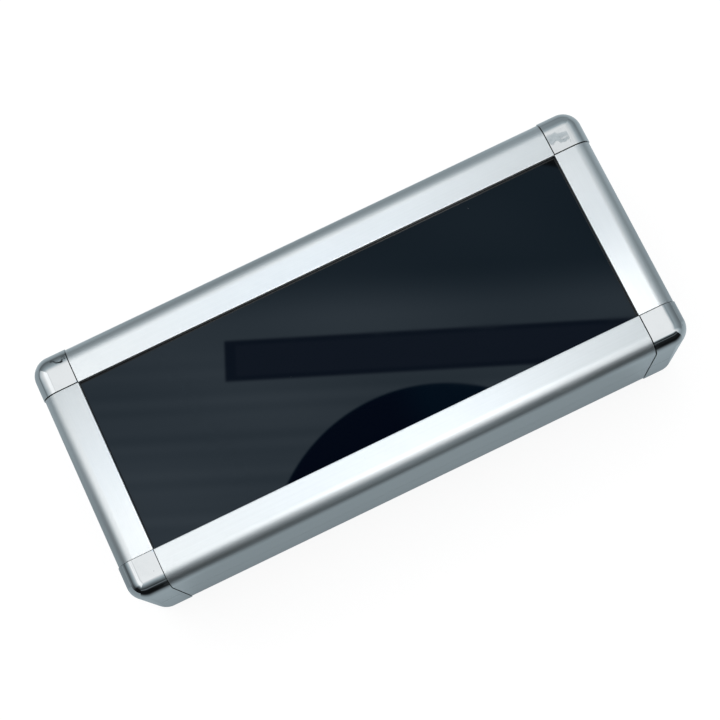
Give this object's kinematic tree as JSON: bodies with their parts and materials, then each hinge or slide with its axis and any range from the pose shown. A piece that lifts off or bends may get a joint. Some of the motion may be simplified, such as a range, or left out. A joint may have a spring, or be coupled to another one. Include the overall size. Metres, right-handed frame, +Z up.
{
  "type": "eyelash storage box",
  "caption": "Long low hinged case with satin metal rails, plated corner caps and glossy black panels, holding a stack of flat lash tiles in foam.",
  "frame": {"origin": "middle of the bounding box, on the plane that the closed case rests on", "axes": "+X along the long side, to the right as seen from the front; -Y towards the front; +Z up, out of the lid"},
  "size_m": [0.2306, 0.105, 0.0606],
  "materials": {
    "satin_aluminium": "finely brushed along its length and anodised, satin",
    "plated_chrome": "bright chrome plating on a casting",
    "black_acrylic": "polished black acrylic sheet",
    "black_foam": "matt closed-cell foam",
    "white_acrylic": "polished white acrylic sheet",
    "soft_rubber": "matt soft rubber",
    "plated_steel": "nickel-plated steel"
  },
  "bodies": {
    "base": {"base_rail_front": "satin_aluminium", "base_rail_back": "satin_aluminium", "base_rail_left": "satin_aluminium", "base_rail_right": "satin_aluminium", "base_corner_front_left": "plated_chrome", "base_corner_front_right": "plated_chrome", "base_corner_back_left": "plated_chrome", "base_corner_back_right": "plated_chrome", "base_panel": "black_acrylic", "base_tray": "black_foam", "base_magnet_left": "plated_steel", "base_magnet_right": "plated_steel", "tile_1": "white_acrylic", "tile_1_spacer_left": "soft_rubber", "tile_1_spacer_right": "soft_rubber", "tile_2": "white_acrylic", "tile_2_spacer_left": "soft_rubber", "tile_2_spacer_right": "soft_rubber", "tile_3": "white_acrylic", "tile_3_spacer_left": "soft_rubber", "tile_3_spacer_right": "soft_rubber", "tile_4": "white_acrylic", "tile_4_spacer_left": "soft_rubber", "tile_4_spacer_right": "soft_rubber", "tile_5": "white_acrylic", "tile_5_spacer_left": "soft_rubber", "tile_5_spacer_right": "soft_rubber", "hinge_left_base_leaf": "plated_chrome", "hinge_left_pin": "plated_steel", "hinge_right_base_leaf": "plated_chrome", "hinge_right_pin": "plated_steel", "rivet_base_left_left": "plated_chrome", "rivet_base_left_right": "plated_chrome", "rivet_base_right_left": "plated_chrome", "rivet_base_right_right": "plated_chrome"},
    "lid": {"lid_rail_front": "satin_aluminium", "lid_rail_back": "satin_aluminium", "lid_rail_left": "satin_aluminium", "lid_rail_right": "satin_aluminium", "lid_corner_front_left": "plated_chrome", "lid_corner_front_right": "plated_chrome", "lid_corner_back_left": "plated_chrome", "lid_corner_back_right": "plated_chrome", "lid_panel": "black_acrylic", "lid_liner": "black_foam", "lid_strike_left": "plated_steel", "lid_strike_right": "plated_steel", "hinge_left_lid_leaf": "plated_chrome", "hinge_right_lid_leaf": "plated_chrome", "rivet_lid_left_left": "plated_chrome", "rivet_lid_left_right": "plated_chrome", "rivet_lid_right_left": "plated_chrome", "rivet_lid_right_right": "plated_chrome"}
  },
  "joints": [
    {"name": "lid_hinge", "type": "hinge", "parent": "base", "child": "lid", "pos_m": [0, 0.0503, 0.0303], "axis": [-1, 0, 0], "range_deg": [0, 180]}
  ]
}
